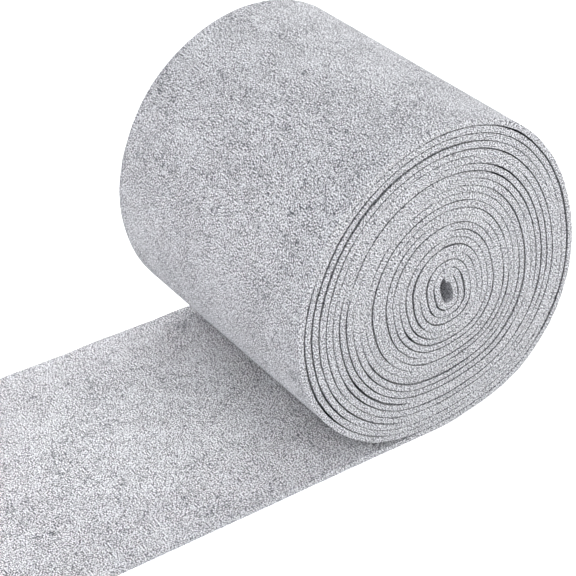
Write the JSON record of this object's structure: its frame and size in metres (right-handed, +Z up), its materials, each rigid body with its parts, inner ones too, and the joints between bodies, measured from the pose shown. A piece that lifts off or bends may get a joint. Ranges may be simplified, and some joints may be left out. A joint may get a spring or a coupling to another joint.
{
  "type": "roll of felt",
  "caption": "Roll of plain grey felt, a thick strip wound round a small leaning slit eye and lying on its own loose end, which runs out flat to one side.",
  "frame": {"origin": "on the surface that the roll lies on, under the middle of the whole piece, roll and loose end together", "axes": "+Z is up; the roll's axis and the strip's width run along Y, with the end that shows the winding best facing -Y; the loose end runs out flat towards -X and the roll stands at the +X end"},
  "size_m": [0.2496, 0.127, 0.1338],
  "materials": {
    "felt": "matt heathered light grey felt, fine dark and light fibres all over, cloudy in patches, the cut edges a little paler and granular"
  },
  "bodies": {
    "root": {"felt_strip": "felt"}
  },
  "joints": []
}
